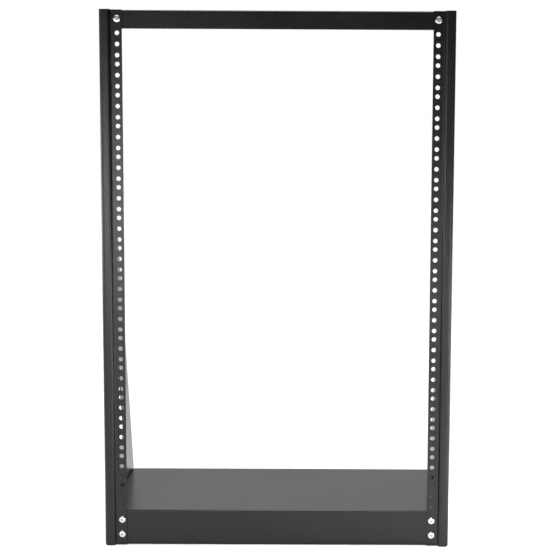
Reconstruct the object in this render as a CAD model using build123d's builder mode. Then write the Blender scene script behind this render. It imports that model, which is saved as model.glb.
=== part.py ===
from build123d import *
import os

# Two post open frame rack for sixteen rack units, made of folded steel sheet.
# Origin on the floor in the middle of the footprint, X to the right seen from the front,
# Y from the front to the rear, Z up. All lengths in millimetres.

# Equipment pattern: each rack unit has three holes on each rail
RAIL_UNITS = 16
UNIT_PITCH = 44.45
UNIT_HOLES = 3
HOLE_SPACING = 15.875
UNIT_END_TO_HOLE = 6.35
RAIL_HOLE_SPAN = 465.1
RAIL_HOLE = 6.6

# Side panels
PANEL_SHEET = 2.0
PANEL_INNER_BEND = 1.5
PANEL_EDGE_INNER_BEND = 3.0
RAIL_EDGE_TO_HOLE = 7.05
HOLE_TO_STEP = 9.95
STRIP_WIDTH = 15.5
STRIP_STEP = 6.0
PANEL_TOP_DEPTH = 30.0
PANEL_BASE_DEPTH = 300.0
FOOT_WIDTH = 20.0
FOOT_GAP = 2.0
FOOT_RELIEF = 1.5
FOOT_CORNER = 4.0
WEB_CORNER = 6.0

# Triangular cut-out in each web, set in from the edges around it
CUTOUT_EDGE_BORDER = 75.0
CUTOUT_TRAY_BORDER = 69.0
CUTOUT_FRONT_BORDER = 70.0
CUTOUT_CORNER = 20.0
CUTOUT_TIP = 12.0

# Base tray
TRAY_HEIGHT = 53.0
TRAY_SHEET = 1.5
TRAY_INNER_BEND = 1.0
TRAY_REAR_INSET = 6.0
TRAY_RETURN = 15.0
TRAY_CORNER_NOTCH = 1.0
TRAY_FOOT_GAP = 1.0

# Top bar
BAR_HEIGHT = 26.8
BAR_DEPTH = 20.0
BAR_SHEET = 2.0
BAR_INNER_BEND = 1.0
BAR_END_GAP = 0.5

# Screws and nuts
SHANK = 5.0
SHANK_CLEARANCE = 0.3
SHANK_LENGTH = 10.0
HEAD = 10.6
HEAD_HEIGHT = 3.2
HEAD_ROUND = 2.2
RECESS_LENGTH = 5.0
RECESS_WIDTH = 1.2
RECESS_DEPTH = 1.8
NUT_FLATS = 8.0
NUT_HEIGHT = 4.0
NUT_FLANGE = 11.0
NUT_FLANGE_HEIGHT = 1.0
BASE_SCREW_PITCH = 22.2
REAR_SCREW_INSET = 25.0

# Heights worked out from the floor up
base_screw_middle_z = (PANEL_SHEET + TRAY_HEIGHT) / 2
base_screw_heights = {
    "upper": base_screw_middle_z + BASE_SCREW_PITCH / 2,
    "lower": base_screw_middle_z - BASE_SCREW_PITCH / 2,
}
bar_z = TRAY_HEIGHT + RAIL_UNITS * UNIT_PITCH
bar_middle_z = bar_z + BAR_HEIGHT / 2
panel_height = bar_z + BAR_HEIGHT
rail_hole_heights = [
    TRAY_HEIGHT + unit * UNIT_PITCH + UNIT_END_TO_HOLE + hole * HOLE_SPACING
    for unit in range(RAIL_UNITS)
    for hole in range(UNIT_HOLES)
]

# Places worked out from the front to the rear
front_y = -PANEL_BASE_DEPTH / 2
rail_front_y = front_y + STRIP_STEP
rail_back_y = rail_front_y + PANEL_SHEET
rear_y = front_y + PANEL_BASE_DEPTH
tray_rear_y = rear_y - TRAY_REAR_INSET
rear_screw_y = rear_y - REAR_SCREW_INSET
foot_front_y = rail_back_y + TRAY_SHEET + FOOT_GAP
panel_top_rear_y = front_y + PANEL_TOP_DEPTH
bar_rear_y = rail_back_y + BAR_DEPTH

# Places worked out from the middle to the side
rail_hole_x = RAIL_HOLE_SPAN / 2
rail_edge_x = rail_hole_x - RAIL_EDGE_TO_HOLE
step_x = rail_hole_x + HOLE_TO_STEP
web_outer_x = step_x + STRIP_WIDTH
web_inner_x = web_outer_x - PANEL_SHEET
foot_edge_x = web_outer_x - FOOT_WIDTH
bar_end_x = web_inner_x - BAR_END_GAP

# Outer radii of the folds
panel_outer_bend = PANEL_INNER_BEND + PANEL_SHEET
panel_edge_outer_bend = PANEL_EDGE_INNER_BEND + PANEL_SHEET
tray_outer_bend = TRAY_INNER_BEND + TRAY_SHEET
bar_outer_bend = BAR_INNER_BEND + BAR_SHEET
side_flange_z = panel_outer_bend + TRAY_FOOT_GAP
tray_flat_x = web_inner_x - tray_outer_bend

# Slant of the web: how far its rear edge comes forward for each millimetre of height
slant = (rear_y - panel_top_rear_y) / (panel_height - TRAY_HEIGHT)
cutout_base_z = TRAY_HEIGHT + CUTOUT_TRAY_BORDER
cutout_front_y = front_y + CUTOUT_FRONT_BORDER
cutout_rear_y = rear_y - slant * CUTOUT_TRAY_BORDER - CUTOUT_EDGE_BORDER * (1 + slant**2) ** 0.5
cutout_top_z = cutout_base_z + (cutout_rear_y - cutout_front_y) / slant

screw_hole_radius = SHANK / 2 + SHANK_CLEARANCE
sides = {"left": -1, "right": 1}


# Right side panel
with BuildPart() as side_panel_right:
    with BuildSketch(Plane.XY) as folded_section:
        with BuildLine():
            FilletPolyline(
                (web_outer_x, rear_y),
                (web_outer_x, front_y),
                (step_x, front_y),
                (step_x, rail_front_y),
                (rail_edge_x, rail_front_y),
                radius=(panel_edge_outer_bend, panel_outer_bend, PANEL_INNER_BEND),
            )
            offset(amount=PANEL_SHEET, side=Side.RIGHT)
        make_face()
    extrude(amount=panel_height)
    # Each web tapers in one slant from the height of the tray to the top
    with BuildSketch(Plane.YZ) as taper:
        with BuildLine():
            Polyline(
                (front_y, 0),
                (rear_y, 0),
                (rear_y, TRAY_HEIGHT),
                (panel_top_rear_y, panel_height),
                (front_y, panel_height),
                close=True,
            )
        make_face()
        fillet(taper.vertices().sort_by(Axis.X)[2:].sort_by(Axis.Y)[1:], radius=WEB_CORNER)
    extrude(amount=web_outer_x, mode=Mode.INTERSECT)
    # The lower outer corner is rounded like the fold of the foot behind it
    with BuildSketch(Plane.XZ.offset(-rear_y)) as front_outline:
        with Locations((rail_edge_x, 0)):
            Rectangle(web_outer_x - rail_edge_x, panel_height, align=(Align.MIN, Align.MIN))
        fillet(front_outline.vertices().sort_by(Axis.X)[2:].sort_by(Axis.Y)[0], radius=panel_outer_bend)
    extrude(amount=PANEL_BASE_DEPTH, mode=Mode.INTERSECT)
    with BuildSketch(Plane.YZ.offset(web_inner_x)) as web_cuts:
        with BuildLine():
            FilletPolyline(
                (cutout_front_y, cutout_base_z),
                (cutout_rear_y, cutout_base_z),
                (cutout_front_y, cutout_top_z),
                radius=(CUTOUT_CORNER, CUTOUT_CORNER, CUTOUT_TIP),
                close=True,
            )
        make_face()
        with Locations(*[(rear_screw_y, height) for height in base_screw_heights.values()]):
            Circle(screw_hole_radius)
    extrude(amount=PANEL_SHEET, mode=Mode.SUBTRACT)
    # The foot folds inward behind the tray's front panel, past a relief slot in the web
    with Locations((web_inner_x, foot_front_y - FOOT_RELIEF, 0)):
        Box(
            PANEL_SHEET,
            rear_y - foot_front_y + FOOT_RELIEF,
            panel_outer_bend,
            align=(Align.MIN, Align.MIN, Align.MIN),
            mode=Mode.SUBTRACT,
        )
    with BuildSketch(Plane.XZ.offset(-rear_y)) as foot_section:
        with BuildLine():
            FilletPolyline(
                (web_outer_x, panel_outer_bend + PANEL_SHEET),
                (web_outer_x, 0),
                (foot_edge_x, 0),
                radius=panel_outer_bend,
            )
            offset(amount=PANEL_SHEET, side=Side.RIGHT)
        make_face()
    extrude(amount=rear_y - foot_front_y)
    fillet(side_panel_right.edges(Select.LAST).filter_by(Axis.Z).sort_by(Axis.X)[:2], radius=FOOT_CORNER)
    with BuildSketch(Plane.XZ.offset(-rail_back_y)) as rail_cuts:
        with Locations(*[(rail_hole_x, height) for height in rail_hole_heights]):
            Circle(RAIL_HOLE / 2)
        with Locations(*[(rail_hole_x, height) for height in (bar_middle_z, *base_screw_heights.values())]):
            Circle(screw_hole_radius)
    extrude(amount=PANEL_SHEET, mode=Mode.SUBTRACT)

with BuildPart() as side_panel_left:
    mirror(side_panel_right.part, about=Plane.YZ)

# Top bar, an angle between the two webs whose flange runs rearward along its top edge
with BuildPart() as top_bar:
    with BuildSketch(Plane.YZ) as bar_section:
        with BuildLine():
            FilletPolyline(
                (rail_back_y, bar_z),
                (rail_back_y, panel_height),
                (bar_rear_y, panel_height),
                radius=bar_outer_bend,
            )
            offset(amount=BAR_SHEET, side=Side.RIGHT)
        make_face()
    extrude(amount=bar_end_x, both=True)
    with BuildSketch(Plane.XZ.offset(-rail_back_y - BAR_SHEET)) as bar_cuts:
        with Locations((-rail_hole_x, bar_middle_z), (rail_hole_x, bar_middle_z)):
            Circle(screw_hole_radius)
    extrude(amount=BAR_SHEET, mode=Mode.SUBTRACT)

# Base tray, an upside-down pan whose front and rear panels fold under at the floor
with BuildPart() as base_tray:
    with BuildSketch(Plane.YZ) as tray_section:
        with BuildLine():
            FilletPolyline(
                (rail_back_y + TRAY_RETURN, 0),
                (rail_back_y, 0),
                (rail_back_y, TRAY_HEIGHT),
                (tray_rear_y, TRAY_HEIGHT),
                (tray_rear_y, 0),
                (tray_rear_y - TRAY_RETURN, 0),
                radius=tray_outer_bend,
            )
            offset(amount=TRAY_SHEET, side=Side.RIGHT)
        make_face()
    extrude(amount=tray_flat_x)
    side_flange_front_y = rail_back_y + tray_outer_bend + TRAY_CORNER_NOTCH
    side_flange_rear_y = tray_rear_y - tray_outer_bend - TRAY_CORNER_NOTCH
    with BuildSketch(Plane.XZ.offset(-side_flange_rear_y)) as side_flange_section:
        with BuildLine():
            FilletPolyline(
                (web_inner_x, side_flange_z),
                (web_inner_x, TRAY_HEIGHT),
                (tray_flat_x - TRAY_SHEET, TRAY_HEIGHT),
                radius=tray_outer_bend,
            )
            offset(amount=TRAY_SHEET, side=Side.LEFT)
        make_face()
    extrude(amount=side_flange_rear_y - side_flange_front_y)
    # The front and rear panels clear the feet of the side panels
    with Locations((foot_edge_x - TRAY_FOOT_GAP, 0, 0)):
        Box(
            FOOT_WIDTH,
            PANEL_BASE_DEPTH,
            side_flange_z,
            align=(Align.MIN, Align.CENTER, Align.MIN),
            mode=Mode.SUBTRACT,
        )
    with BuildSketch(Plane.XZ.offset(-rail_back_y - TRAY_SHEET)) as front_panel_cuts:
        with Locations(*[(rail_hole_x, height) for height in base_screw_heights.values()]):
            Circle(screw_hole_radius)
    extrude(amount=TRAY_SHEET, mode=Mode.SUBTRACT)
    with BuildSketch(Plane.YZ.offset(web_inner_x - TRAY_SHEET)) as side_flange_cuts:
        with Locations(*[(rear_screw_y, height) for height in base_screw_heights.values()]):
            Circle(screw_hole_radius)
    extrude(amount=TRAY_SHEET, mode=Mode.SUBTRACT)
    mirror(about=Plane.YZ)

# Screw with a domed head and a cross recess, its head seated on the plane it is placed on
with BuildPart() as screw:
    with BuildSketch(Plane.XZ) as screw_half_section:
        Rectangle(HEAD / 2, HEAD_HEIGHT, align=(Align.MIN, Align.MIN))
        fillet(screw_half_section.vertices().sort_by(Axis.X)[2:].sort_by(Axis.Y)[-1], radius=HEAD_ROUND)
        Rectangle(SHANK / 2, SHANK_LENGTH, align=(Align.MIN, Align.MAX))
    revolve(axis=Axis.Z)
    with BuildSketch(Plane.XY.offset(HEAD_HEIGHT)) as recess:
        Rectangle(RECESS_LENGTH, RECESS_WIDTH)
        Rectangle(RECESS_WIDTH, RECESS_LENGTH)
    extrude(amount=-RECESS_DEPTH, mode=Mode.SUBTRACT)

# Flanged hexagon nut, its flange seated against the underside of the plane it is placed on
with BuildPart() as nut:
    with BuildSketch(Plane.XY) as nut_flange:
        Circle(NUT_FLANGE / 2)
    extrude(amount=-NUT_FLANGE_HEIGHT)
    with BuildSketch(Plane.XY) as nut_body:
        RegularPolygon(NUT_FLATS / 2, 6, major_radius=False)
    extrude(amount=-NUT_HEIGHT)
    with BuildSketch(Plane.XY) as nut_bore:
        Circle(screw_hole_radius)
    extrude(amount=-NUT_HEIGHT, mode=Mode.SUBTRACT)


def fasteners(place, seat, clamped):
    """A screw seated on a plane and the nut behind the sheets that they clamp."""
    with BuildPart() as placed_screw:
        with Locations(seat):
            add(screw.part)
    with BuildPart() as placed_nut:
        with Locations(seat.offset(-clamped)):
            add(nut.part)
    return {place.format("screw"): placed_screw.part, place.format("nut"): placed_nut.part}


pieces = {
    "side_panel_left": side_panel_left.part,
    "side_panel_right": side_panel_right.part,
    "top_bar": top_bar.part,
    "base_tray": base_tray.part,
}
for side, sign in sides.items():
    top_seat = Plane(origin=(sign * rail_hole_x, rail_front_y, bar_middle_z), z_dir=(0, -1, 0))
    pieces |= fasteners("top_{}_" + side, top_seat, PANEL_SHEET + BAR_SHEET)
    for row, height in base_screw_heights.items():
        base_seat = Plane(origin=(sign * rail_hole_x, rail_front_y, height), z_dir=(0, -1, 0))
        pieces |= fasteners("base_{}_" + side + "_" + row, base_seat, PANEL_SHEET + TRAY_SHEET)
        rear_seat = Plane(origin=(sign * web_outer_x, rear_screw_y, height), z_dir=(sign, 0, 0))
        pieces |= fasteners("rear_{}_" + side + "_" + row, rear_seat, PANEL_SHEET + TRAY_SHEET)

os.makedirs("parts", exist_ok=True)
for name, piece in pieces.items():
    piece.label = name
    export_step(piece, f"parts/{name}.step")
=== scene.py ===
import math
import bpy
import bmesh
from mathutils import Matrix, Vector


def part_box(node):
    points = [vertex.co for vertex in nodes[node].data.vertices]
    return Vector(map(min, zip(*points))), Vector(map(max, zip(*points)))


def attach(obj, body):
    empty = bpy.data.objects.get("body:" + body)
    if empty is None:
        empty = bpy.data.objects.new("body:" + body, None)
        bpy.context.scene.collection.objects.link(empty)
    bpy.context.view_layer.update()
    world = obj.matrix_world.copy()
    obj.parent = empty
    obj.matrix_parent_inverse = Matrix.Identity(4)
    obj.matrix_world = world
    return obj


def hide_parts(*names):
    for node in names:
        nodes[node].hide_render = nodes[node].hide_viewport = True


# Two post open frame rack for sixteen rack units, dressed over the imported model. All lengths in metres.
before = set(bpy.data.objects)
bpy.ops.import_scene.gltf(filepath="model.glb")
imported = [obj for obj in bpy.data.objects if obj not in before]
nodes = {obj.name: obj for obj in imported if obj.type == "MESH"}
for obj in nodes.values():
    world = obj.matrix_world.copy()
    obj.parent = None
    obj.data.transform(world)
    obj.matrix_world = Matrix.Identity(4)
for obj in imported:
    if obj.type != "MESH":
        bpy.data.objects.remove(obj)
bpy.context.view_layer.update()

# Camera, at the photograph's place
EYE = (0.05058, -2.02456, 0.53970)
FORWARD = (0.001720, 0.994193, -0.107594)
RIGHT = (0.999988, -0.001214, 0.004767)
LENS = 82.972
SENSOR_WIDTH = 36.0
SHIFT = (-0.0660, 0.0843)
CLIP_START = 0.05
CLIP_END = 120.0

# Finishes: grey tones, roughness and the scales of their noise
COAT_DARK = 0.002
COAT_PALE = 0.006
COAT_BLUE = 1.02
COAT_ROUGHNESS = (0.24, 0.26)
COAT_GLOSS = 0.30
COAT_GRAIN_SCALE = 1500.0
COAT_PEEL_SCALE = 330.0
COAT_MOTTLE_SCALE = 9.0
COAT_GRAIN_SHARE = 0.65
COAT_MOTTLE_SHARE = 0.35
COAT_TONE_ENDS = (0.35, 0.72)
ZINC_DARK = (0.50, 0.51, 0.53, 1)
ZINC_PALE = (0.64, 0.64, 0.64, 1)
ZINC_ROUGHNESS = (0.22, 0.30)
ZINC_CLOUD_SCALE = 600.0
ZINC_GRAIN_SCALE = 4000.0
ZINC_TONE_ENDS = (0.3, 0.7)
ROUGHNESS_ENDS = (0.3, 0.7)

# Screws. Heights count from the seat, the face of the sheet under the head.
HEAD_RADIUS = 0.0051
HEAD_HEIGHT = 0.0032
HEAD_CORNER = 0.0016
HEAD_CROWN = 0.0001
HEAD_CROWN_STEPS = 6
HEAD_FOOT_STEP = 0.0002
RECESS_REACH = 0.0026
RECESS_WIDTH = 0.0012
RECESS_DEPTH = 0.0022
RECESS_FLOOR_REACH = 0.45
RECESS_FLOOR_WIDTH = 0.7
RECESS_OVERCUT = 0.0002
WELL_TOP_RADIUS = 0.0016
WELL_FLOOR_RADIUS = 0.0005
WELL_EXTRA_DEPTH = 0.0003
THREAD_RADIUS = 0.0025
THREAD_ROOT = 0.00207
THREAD_PITCH = 0.0008
RIDGE_TOP = 1.5
RIDGE_SLOPE = 3.0
SHANK_LENGTH = 0.0100
SHANK_OVERLAP = 0.0002

# Nuts. They lie below their seat, the face that meets the sheet.
NUT_FLATS = 0.008
NUT_HEIGHT = 0.004
NUT_SEAT_GAP = 0.0002
NUT_FLANGE = 0.0055
NUT_FLANGE_TOP_INSET = 0.98
NUT_FLANGE_TOP = 0.0014
NUT_FLANGE_SHOULDER = 0.0006
NUT_FLANGE_SIDE = 0.0004
NUT_FLANGE_STEP = 0.0002
NUT_FLANGE_EDGE = 0.0001
NUT_CHAMFER_INSET = 0.97
NUT_CHAMFER_HEIGHT = 0.0006
NUT_OUTSIDE = 1.01
NUT_BORE = 0.00265
NUT_COUNTERSINK = 0.0006
NUT_COUNTERSINK_DEPTH = 0.0005
NUT_OVERCUT = 0.0001

# Each fastener is turned further than the one before, by an angle in radians.
# Edges above an angle in degrees stay sharp.
SPIN_STEP = 2.4
SHARP_ANGLE = 32

# Floor
FLOOR_RADIUS = 40.0
FLOOR_DROP = 0.0002
FLOOR_TONE = (0.93, 0.93, 0.93, 1)

# Lamps: widths and heights, and the places that they shine at
FRONT_LAMP = (0.55, 0.3)
SIDE_LAMP = (0.6, 0.35)
FLOOR_LAMP = (0.5, 0.5)
FLOOR_LAMP_HEIGHT = 1.6
FLOOR_LAMP_SPREAD = 50
FULL_SPREAD = 180
RACK_MIDDLE = (0.0, 0.0, 0.4)
RACK_FOOT = (0.0, 0.0, 0.05)
RIGHT_SIDE_LOW = (0.25, -0.15, 0.15)
LEFT_SIDE_HIGH = (-0.25, -0.15, 0.50)
OVERHEAD_STRENGTH = 3.4
OVERHEAD_ANGLE = 50
OVERHEAD_PLACE = (0.0, 0.0, 3.0)
ROOM_ENDS = (-0.2, 0.3)
ROOM_STRENGTH = (0.03, 0.3)


def tree(name):
    """A new material with its nodes cleared away, a helper that adds and sets a node, and one that links."""
    material = bpy.data.materials.new(name)
    material.use_nodes = True
    material.node_tree.nodes.clear()

    def add(kind, **sockets):
        node = material.node_tree.nodes.new("ShaderNode" + kind)
        for key, value in sockets.items():
            if key in node.inputs:
                node.inputs[key].default_value = value
            elif hasattr(node, key):
                setattr(node, key, value)
            else:
                node.inputs[key.replace("_", " ")].default_value = value
        return node

    return material, add, material.node_tree.links.new


def tone_ramp(add, ends, dark, pale):
    """A colour ramp between two tones."""
    ramp = add("ValToRGB")
    for element, place, colour in zip(ramp.color_ramp.elements, ends, (dark, pale)):
        element.position = place
        element.color = colour
    return ramp


def roughness_range(add, rough):
    """A range that turns noise into a roughness between two values."""
    low, high = ROUGHNESS_ENDS
    return add("MapRange", From_Min=low, From_Max=high, To_Min=rough[0], To_Max=rough[1])


def finish_material(add, link, surface, tone, rough, bump):
    """Joins tone, roughness and bump to the surface's shader, and the shader to the output."""
    link(tone.outputs["Color"], surface.inputs["Base Color"])
    link(rough.outputs["Result"], surface.inputs["Roughness"])
    link(bump.outputs["Normal"], surface.inputs["Normal"])
    out = add("OutputMaterial")
    link(surface.outputs[0], out.inputs["Surface"])


def powder_coat(name):
    """Black powder coat: fine grain, a slight orange peel, a faint mottle and softened edges."""
    material, add, link = tree(name)
    place = add("TexCoord")
    grain = add("TexNoise", Scale=COAT_GRAIN_SCALE, Detail=2.0, Roughness=0.6)
    peel = add("TexNoise", Scale=COAT_PEEL_SCALE, Detail=2.0, Roughness=0.5)
    mottle = add("TexNoise", Scale=COAT_MOTTLE_SCALE, Detail=1.0, Roughness=0.5)
    for noise in (grain, peel, mottle):
        link(place.outputs["Object"], noise.inputs["Vector"])
    dark = (COAT_DARK, COAT_DARK, COAT_DARK * COAT_BLUE, 1)
    pale = (COAT_PALE, COAT_PALE, COAT_PALE * COAT_BLUE, 1)
    tone = tone_ramp(add, COAT_TONE_ENDS, dark, pale)
    mottle_part = add("Math", operation="MULTIPLY")
    mottle_part.inputs[1].default_value = COAT_MOTTLE_SHARE
    blend = add("Math", operation="MULTIPLY_ADD")
    blend.inputs[1].default_value = COAT_GRAIN_SHARE
    link(mottle.outputs["Fac"], mottle_part.inputs[0])
    link(grain.outputs["Fac"], blend.inputs[0])
    link(mottle_part.outputs[0], blend.inputs[2])
    link(blend.outputs[0], tone.inputs["Fac"])
    rough = roughness_range(add, COAT_ROUGHNESS)
    link(mottle.outputs["Fac"], rough.inputs["Value"])
    edge = add("Bevel", Radius=0.0005)
    coarse = add("Bump", Strength=0.30, Distance=0.0004)
    fine = add("Bump", Strength=0.55, Distance=0.0001)
    link(peel.outputs["Fac"], coarse.inputs["Height"])
    link(edge.outputs["Normal"], coarse.inputs["Normal"])
    link(grain.outputs["Fac"], fine.inputs["Height"])
    link(coarse.outputs["Normal"], fine.inputs["Normal"])
    surface = add("BsdfPrincipled", IOR=1.5)
    surface.inputs["Specular IOR Level"].default_value = COAT_GLOSS
    finish_material(add, link, surface, tone, rough, fine)
    return material


def zinc_plate(name):
    """Bright zinc plating with a faint cloudy tone and a very fine grain."""
    material, add, link = tree(name)
    place = add("TexCoord")
    cloud = add("TexNoise", Scale=ZINC_CLOUD_SCALE, Detail=3.0, Roughness=0.6)
    grain = add("TexNoise", Scale=ZINC_GRAIN_SCALE, Detail=2.0, Roughness=0.6)
    for noise in (cloud, grain):
        link(place.outputs["Object"], noise.inputs["Vector"])
    tone = tone_ramp(add, ZINC_TONE_ENDS, ZINC_DARK, ZINC_PALE)
    link(cloud.outputs["Fac"], tone.inputs["Fac"])
    rough = roughness_range(add, ZINC_ROUGHNESS)
    link(cloud.outputs["Fac"], rough.inputs["Value"])
    edge = add("Bevel", Radius=0.0003)
    fine = add("Bump", Strength=0.15, Distance=0.00005)
    link(grain.outputs["Fac"], fine.inputs["Height"])
    link(edge.outputs["Normal"], fine.inputs["Normal"])
    surface = add("BsdfPrincipled", Metallic=1.0)
    finish_material(add, link, surface, tone, rough, fine)
    return material


coat = powder_coat("black_powder_coat")
zinc = zinc_plate("zinc_plate")
fasteners = [name for name in sorted(nodes) if "screw" in name or "nut" in name]
for name, node in nodes.items():
    for slot in node.material_slots:
        slot.material = zinc if name in fasteners else coat


def solid(name, shape):
    """An object from a bmesh, which it uses up."""
    bmesh.ops.recalc_face_normals(shape, faces=shape.faces)
    mesh = bpy.data.meshes.new(name)
    shape.to_mesh(mesh)
    shape.free()
    piece = bpy.data.objects.new(name, mesh)
    bpy.context.scene.collection.objects.link(piece)
    return piece


def around(steps, radius=1.0):
    """Points of a circle or a regular polygon."""
    turns = [2 * math.pi * step / steps for step in range(steps)]
    return [(radius * math.cos(turn), radius * math.sin(turn)) for turn in turns]


def stack(name, outlines):
    """A closed solid through outlines of equal length, each a list of points and its height."""
    shape = bmesh.new()
    rings = [[shape.verts.new((x, y, height)) for x, y in points] for points, height in outlines]
    for low, high in zip(rings, rings[1:]):
        for here in range(len(low)):
            after = (here + 1) % len(low)
            shape.faces.new((low[here], low[after], high[after], high[here]))
    shape.faces.new(rings[0])
    shape.faces.new(rings[-1])
    return solid(name, shape)


def lathe(name, profile, steps=64):
    """A closed solid of revolution about Z, from points of radius and height."""
    return stack(name, [(around(steps, radius), height) for radius, height in profile])


def thread(name, root, crest, start, end, steps=28, rows=10):
    """A threaded rod whose ridge climbs one pitch a turn and fades out towards its ends."""
    outlines = []
    count = round((end - start) / THREAD_PITCH * rows)
    for row in range(count + 1):
        height = start + (end - start) * row / count
        room = min((height - start) / THREAD_PITCH, (end - height) / THREAD_PITCH, 1.0)
        ring = []
        for step, (x, y) in enumerate(around(steps)):
            turn = ((height - start) / THREAD_PITCH - step / steps) % 1.0
            ridge = min(1.0, max(0.0, RIDGE_TOP - RIDGE_SLOPE * abs(2.0 * turn - 1.0)))
            radius = root + (crest - root) * ridge * room
            ring.append((x * radius, y * radius))
        outlines.append((ring, height))
    return stack(name, outlines)


def combine(piece, tool, operation):
    """Cuts a piece with a tool, joins them or keeps what they share, and removes the tool."""
    step = piece.modifiers.new(operation.lower(), "BOOLEAN")
    step.operation, step.solver, step.use_self, step.object = operation, "EXACT", True, tool
    done = bpy.data.meshes.new_from_object(piece.evaluated_get(bpy.context.evaluated_depsgraph_get()))
    piece.modifiers.clear()
    piece.data = done
    bpy.data.objects.remove(tool)


def quarter(middle_radius, middle_height, corner, last, steps):
    """Points of a rounded corner, from level outward up to an angle in degrees."""
    turns = [math.radians(last * step / steps) for step in range(steps + 1)]
    return [
        (middle_radius + corner * math.cos(turn), middle_height + corner * math.sin(turn))
        for turn in turns
    ]


def bar_outline(reach, width, turn):
    """The corners of a bar across the middle, turned about Z."""
    corners = ((-reach, -width / 2), (reach, -width / 2), (reach, width / 2), (-reach, width / 2))
    cos, sin = math.cos(turn), math.sin(turn)
    return [(x * cos - y * sin, x * sin + y * cos) for x, y in corners]


def screw_mesh():
    """A machine screw: pan head with a tapered cross recess, and a threaded shank. Z = 0 is the seat."""
    shoulder = HEAD_RADIUS - HEAD_CORNER
    profile = [(HEAD_RADIUS - HEAD_FOOT_STEP, 0.0)]
    profile += quarter(shoulder, HEAD_HEIGHT - HEAD_CROWN - HEAD_CORNER, HEAD_CORNER, last=88, steps=10)
    for ring in range(1, HEAD_CROWN_STEPS):
        inward = 1 - ring / HEAD_CROWN_STEPS
        profile.append((shoulder * inward, HEAD_HEIGHT - HEAD_CROWN * inward**2))
    head = lathe("screw", profile)
    recess_floor = HEAD_HEIGHT - RECESS_DEPTH
    recess_top = HEAD_HEIGHT + RECESS_OVERCUT
    for turn in (0.0, math.pi / 2):
        small = bar_outline(RECESS_REACH * RECESS_FLOOR_REACH, RECESS_WIDTH * RECESS_FLOOR_WIDTH, turn)
        large = bar_outline(RECESS_REACH, RECESS_WIDTH, turn)
        combine(head, stack("recess", [(small, recess_floor), (large, recess_top)]), "DIFFERENCE")
    well_profile = [
        (WELL_FLOOR_RADIUS, recess_floor - WELL_EXTRA_DEPTH),
        (WELL_TOP_RADIUS, recess_top),
    ]
    combine(head, lathe("well", well_profile, steps=24), "DIFFERENCE")
    shank = thread("shank", THREAD_ROOT, THREAD_RADIUS, -SHANK_LENGTH, SHANK_OVERLAP)
    combine(head, shank, "UNION")
    return head


def nut_mesh():
    """A flanged hexagon nut with chamfered corners. Z = 0 is the face that meets the sheet."""
    corner = NUT_FLATS / 2 / math.cos(math.pi / 6)
    hexagon = around(6, corner)
    nut = stack("nut", [(hexagon, -NUT_HEIGHT), (hexagon, -NUT_SEAT_GAP)])
    chamfer = lathe("chamfer", [
        (NUT_FLATS / 2 * NUT_CHAMFER_INSET, -NUT_HEIGHT),
        (corner * NUT_OUTSIDE, -NUT_HEIGHT + NUT_CHAMFER_HEIGHT),
        (corner * NUT_OUTSIDE, -NUT_OVERCUT),
    ])
    combine(nut, chamfer, "INTERSECT")
    flange = lathe("flange", [
        (corner * NUT_FLANGE_TOP_INSET, -NUT_FLANGE_TOP),
        (NUT_FLANGE - NUT_FLANGE_STEP, -NUT_FLANGE_SHOULDER),
        (NUT_FLANGE, -NUT_FLANGE_SIDE),
        (NUT_FLANGE, -NUT_FLANGE_EDGE),
        (NUT_FLANGE - NUT_FLANGE_EDGE, 0.0),
    ])
    combine(nut, flange, "UNION")
    bore_profile = [
        (NUT_BORE + NUT_COUNTERSINK, -NUT_HEIGHT - NUT_OVERCUT),
        (NUT_BORE, -NUT_HEIGHT + NUT_COUNTERSINK_DEPTH),
        (NUT_BORE, -NUT_COUNTERSINK_DEPTH),
        (NUT_BORE + NUT_COUNTERSINK, NUT_OVERCUT),
    ]
    combine(nut, lathe("bore", bore_profile, steps=48), "DIFFERENCE")
    return nut


def place_fastener(name, pattern, spin):
    """A detailed screw or nut in place of the model's plain one, on the axis and seat of its box."""
    low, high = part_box(name)
    middle = (low + high) / 2
    if name.startswith("rear"):
        axis, outward = 0, Vector((math.copysign(1, middle.x), 0, 0))
    else:
        axis, outward = 1, Vector((0, -1, 0))
    outer = low[axis] if outward[axis] < 0 else high[axis]
    middle[axis] = outer - outward[axis] * HEAD_HEIGHT if "screw" in name else outer
    piece = bpy.data.objects.new("detailed_" + name, pattern.data)
    bpy.context.scene.collection.objects.link(piece)
    turn = outward.to_track_quat("Z", "Y").to_matrix().to_4x4()
    piece.matrix_world = Matrix.Translation(middle) @ turn @ Matrix.Rotation(spin, 4, "Z")
    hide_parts(name)
    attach(piece, "root")


patterns = {"screw": screw_mesh(), "nut": nut_mesh()}
for pattern in patterns.values():
    pattern.data.materials.clear()
    pattern.data.materials.append(zinc)
    for face in pattern.data.polygons:
        face.use_smooth = True
    pattern.data.set_sharp_from_angle(angle=math.radians(SHARP_ANGLE))
for order, name in enumerate(fasteners):
    kind = "screw" if "screw" in name else "nut"
    place_fastener(name, patterns[kind], spin=SPIN_STEP * order)
for pattern in patterns.values():
    bpy.data.objects.remove(pattern)

# Pale floor
floor_mesh = bpy.data.meshes.new("floor")
shape = bmesh.new()
bmesh.ops.create_circle(shape, cap_ends=True, segments=96, radius=FLOOR_RADIUS)
shape.to_mesh(floor_mesh)
shape.free()
floor = bpy.data.objects.new("floor", floor_mesh)
bpy.context.scene.collection.objects.link(floor)
floor.location.z = -FLOOR_DROP
material, add, link = tree("pale_floor")
surface = add("BsdfPrincipled", Roughness=0.8)
surface.inputs["Base Color"].default_value = FLOOR_TONE
surface.inputs["Specular IOR Level"].default_value = 0.2
out = add("OutputMaterial")
link(surface.outputs[0], out.inputs["Surface"])
floor_mesh.materials.append(material)


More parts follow.
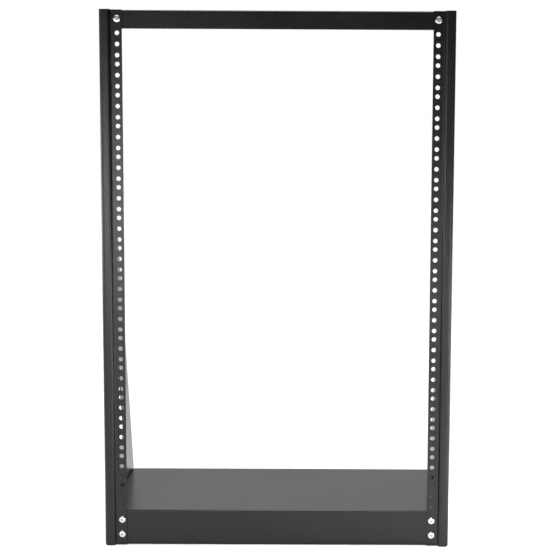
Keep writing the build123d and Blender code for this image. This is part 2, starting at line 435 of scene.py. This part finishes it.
def softbox(name, place, aim, size, power, spread=FULL_SPREAD):
    """A soft rectangular lamp that shines from one place to another, with its spread in degrees."""
    lamp = bpy.data.lights.new(name, "AREA")
    lamp.shape = "RECTANGLE"
    lamp.size, lamp.size_y = size
    lamp.energy = power
    lamp.spread = math.radians(spread)
    holder = bpy.data.objects.new(name, lamp)
    bpy.context.scene.collection.objects.link(holder)
    holder.location = place
    holder.rotation_euler = (Vector(aim) - Vector(place)).to_track_quat("-Z", "Y").to_euler()
    holder.visible_camera = False


def floor_softbox(name, x, y, power):
    """A lamp that shines straight down on one part of the floor."""
    softbox(name, (x, y, FLOOR_LAMP_HEIGHT), (x, y, 0.0), FLOOR_LAMP, power, FLOOR_LAMP_SPREAD)


# Soft lamps: in front, at both sides, behind the object, and four that light the floor around it
softbox("front_left_softbox", (-0.85, -3.6, 0.48), RACK_MIDDLE, FRONT_LAMP, 12.0)
softbox("front_left_high_softbox", (-0.85, -3.6, 0.75), RACK_MIDDLE, FRONT_LAMP, 1.6)
softbox("front_middle_softbox", (0.65, -3.6, 0.11), RACK_MIDDLE, (0.4, 0.2), 2.2)
softbox("front_low_softbox", (-0.10, -3.6, 0.10), RACK_MIDDLE, FRONT_LAMP, 9.0)
softbox("front_right_softbox", (1.5, -2.4, 0.15), RIGHT_SIDE_LOW, SIDE_LAMP, 16.2)
softbox("left_softbox", (-1.8, -0.15, 0.50), LEFT_SIDE_HIGH, SIDE_LAMP, 11.7)
softbox("right_softbox", (1.8, -0.15, 0.15), RIGHT_SIDE_LOW, SIDE_LAMP, 6.6)
softbox("left_wide_softbox", (-1.9, -1.6, 0.60), (0.0, 0.0, 0.5), (1.8, 0.9), 13.0)
softbox("right_wide_softbox", (1.9, -1.6, 0.14), (0.0, 0.0, 0.2), (1.8, 0.25), 4.0)
softbox("back_softbox", (0.0, 3.0, 0.80), RACK_FOOT, (2.2, 0.7), 1.9)
softbox("back_high_softbox", (0.0, 3.0, 1.30), RACK_FOOT, (1.6, 0.6), 2.3)
floor_softbox("floor_right_softbox", 0.85, -1.0, 6.6)
floor_softbox("floor_front_softbox", 0.10, -0.7, 2.1)
floor_softbox("floor_right_side_softbox", 0.80, -0.2, 7.0)
floor_softbox("floor_left_side_softbox", -0.80, -0.2, 2.0)
overhead_light = bpy.data.lights.new("overhead_light", "SUN")
overhead_light.energy = OVERHEAD_STRENGTH
overhead_light.angle = math.radians(OVERHEAD_ANGLE)
overhead = bpy.data.objects.new("overhead_light", overhead_light)
bpy.context.scene.collection.objects.link(overhead)
overhead.location = OVERHEAD_PLACE

# White surroundings, which light the object less from the camera's side of the studio
world = bpy.data.worlds.new("studio")
bpy.context.scene.world = world
world.use_nodes = True
room_nodes = world.node_tree.nodes
join = world.node_tree.links.new
room_nodes.clear()
place = room_nodes.new("ShaderNodeTexCoord")
split = room_nodes.new("ShaderNodeSeparateXYZ")
ramp = room_nodes.new("ShaderNodeMapRange")
ramp.inputs["From Min"].default_value, ramp.inputs["From Max"].default_value = ROOM_ENDS
ramp.inputs["To Min"].default_value, ramp.inputs["To Max"].default_value = ROOM_STRENGTH
room = room_nodes.new("ShaderNodeBackground")
white = room_nodes.new("ShaderNodeBackground")
white.inputs["Color"].default_value = (1, 1, 1, 1)
path = room_nodes.new("ShaderNodeLightPath")
mix = room_nodes.new("ShaderNodeMixShader")
out = room_nodes.new("ShaderNodeOutputWorld")
join(place.outputs["Generated"], split.inputs[0])
join(split.outputs["Y"], ramp.inputs["Value"])
join(ramp.outputs["Result"], room.inputs["Strength"])
join(path.outputs["Is Camera Ray"], mix.inputs[0])
join(room.outputs[0], mix.inputs[1])
join(white.outputs[0], mix.inputs[2])
join(mix.outputs[0], out.inputs["Surface"])

# Camera
lens = bpy.data.cameras.new("camera")
lens.lens = LENS
lens.sensor_width = SENSOR_WIDTH
lens.shift_x, lens.shift_y = SHIFT
lens.clip_start, lens.clip_end = CLIP_START, CLIP_END
camera = bpy.data.objects.new("camera", lens)
bpy.context.scene.collection.objects.link(camera)
forward, right = Vector(FORWARD).normalized(), Vector(RIGHT).normalized()
up = right.cross(forward).normalized()
turn = Matrix((right, up, -forward)).transposed()
camera.matrix_world = Matrix.Translation(EYE) @ turn.to_4x4()
bpy.context.scene.camera = camera
bpy.context.scene.view_settings.view_transform = "Standard"
